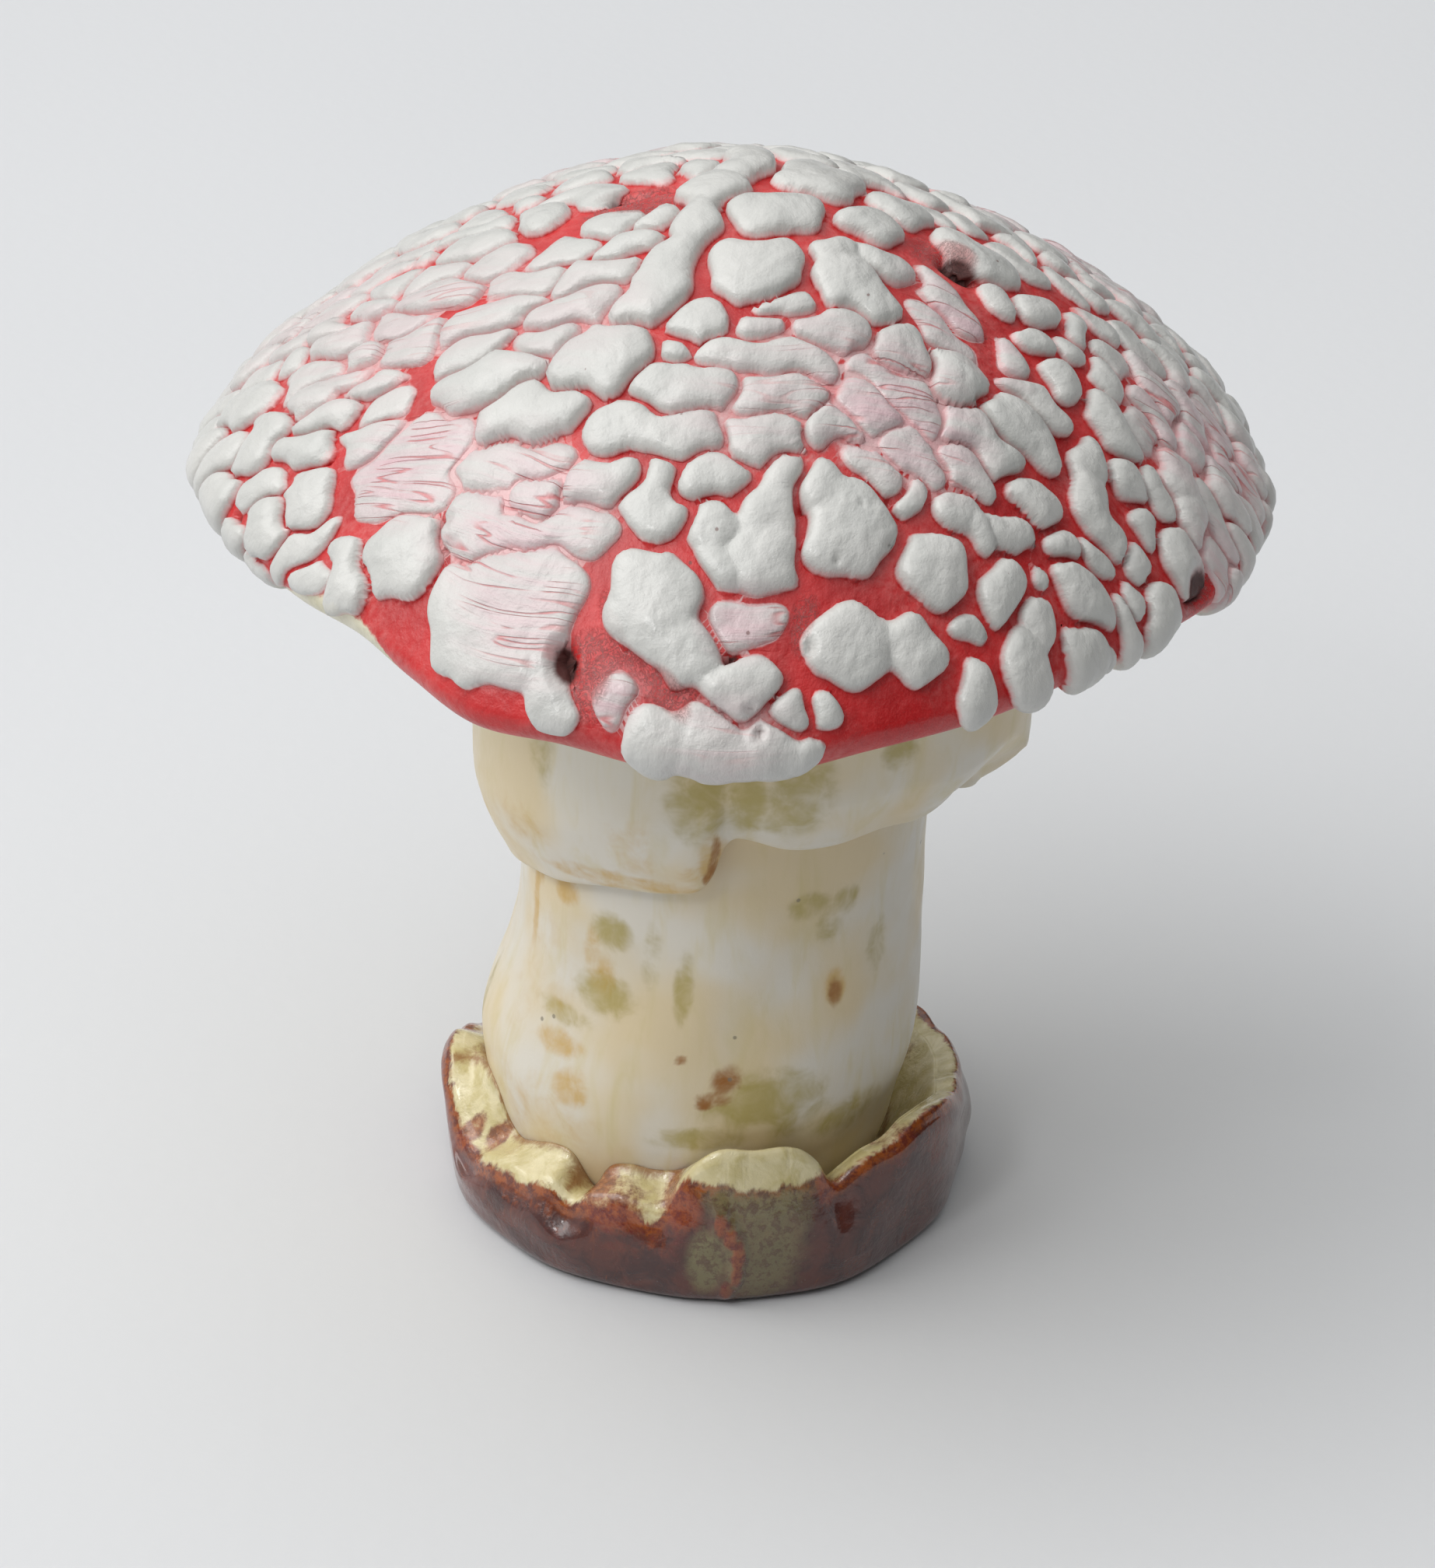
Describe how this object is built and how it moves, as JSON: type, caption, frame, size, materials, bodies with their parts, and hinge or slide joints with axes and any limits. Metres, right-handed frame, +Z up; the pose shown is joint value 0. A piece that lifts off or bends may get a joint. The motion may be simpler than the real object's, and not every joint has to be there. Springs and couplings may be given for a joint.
{
  "type": "ceramic fly agaric ornament",
  "caption": "Standing glazed ceramic toadstool: domed cap with raised crawled-glaze islands, torn collar, stout stem and a pinched cup round its foot.",
  "frame": {"origin": "middle of the flat foot, on the surface that the ornament stands on", "axes": "+Z up through the crown, -Y towards the front where the collar's torn ends meet, +X to the right"},
  "size_m": [0.1239, 0.1217, 0.1304],
  "materials": {
    "cap": "glossy red glaze under crawled white glaze",
    "collar": "satin cream glaze with olive streaks",
    "stem": "satin cream glaze with ochre spots",
    "cup": "glossy brown glaze, olive cream lip"
  },
  "bodies": {
    "root": {"cap": "cap", "collar": "collar", "stem": "stem", "cup": "cup"}
  },
  "joints": []
}
